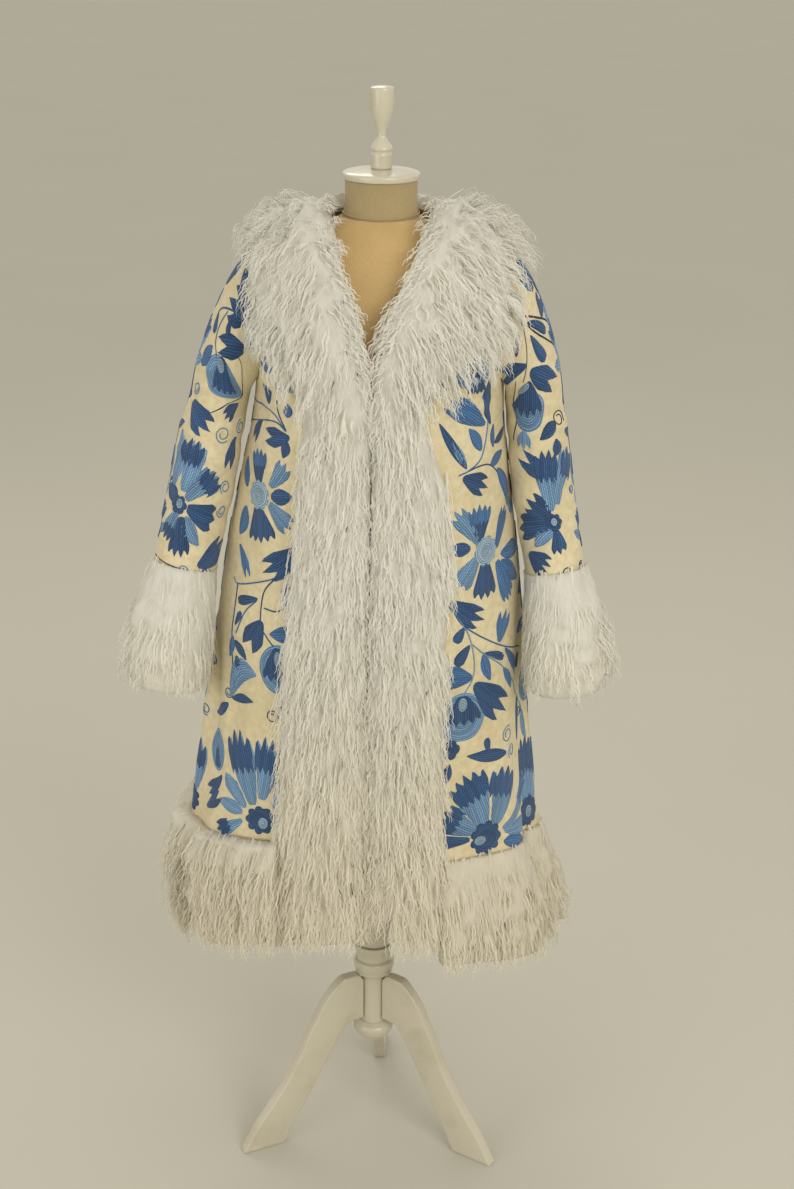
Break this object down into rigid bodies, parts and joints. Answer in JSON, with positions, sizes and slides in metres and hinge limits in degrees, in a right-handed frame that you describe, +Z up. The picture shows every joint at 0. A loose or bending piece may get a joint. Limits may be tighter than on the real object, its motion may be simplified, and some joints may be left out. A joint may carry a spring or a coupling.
{
  "type": "fur-trimmed embroidered coat on a limbless dress form with a tripod stand",
  "caption": "Long open coat in embroidered cotton with deep fur collar, front bands, cuffs and hem, worn by a limbless dress form on a turned tripod stand.",
  "frame": {"origin": "on the floor, under the middle of the whole outline", "axes": "+Z up, the coat's front faces -Y, the wearer's left sleeve is at +X"},
  "size_m": [0.7696, 0.4855, 1.7635],
  "materials": {
    "cloth": "cream cotton with blue chain-stitch embroidery",
    "fur": "long creamy lamb fur",
    "jersey": "beige knitted cover",
    "lacquer": "off-white gloss lacquer"
  },
  "bodies": {
    "root": {"front_left": "cloth", "front_right": "cloth", "back": "cloth", "sleeve_left": "cloth", "sleeve_right": "cloth", "fur_front_left": "fur", "fur_front_right": "fur", "fur_collar": "fur", "fur_cuff_left": "fur", "fur_cuff_right": "fur", "fur_hem_left": "fur", "fur_hem_right": "fur", "fur_hem_back": "fur", "form_torso": "jersey", "form_neck": "jersey", "form_lid": "lacquer", "form_finial": "lacquer", "stand_pole": "lacquer", "stand_stem": "lacquer", "stand_knob": "lacquer", "leg_left": "lacquer", "leg_back": "lacquer", "leg_right": "lacquer"}
  },
  "joints": []
}
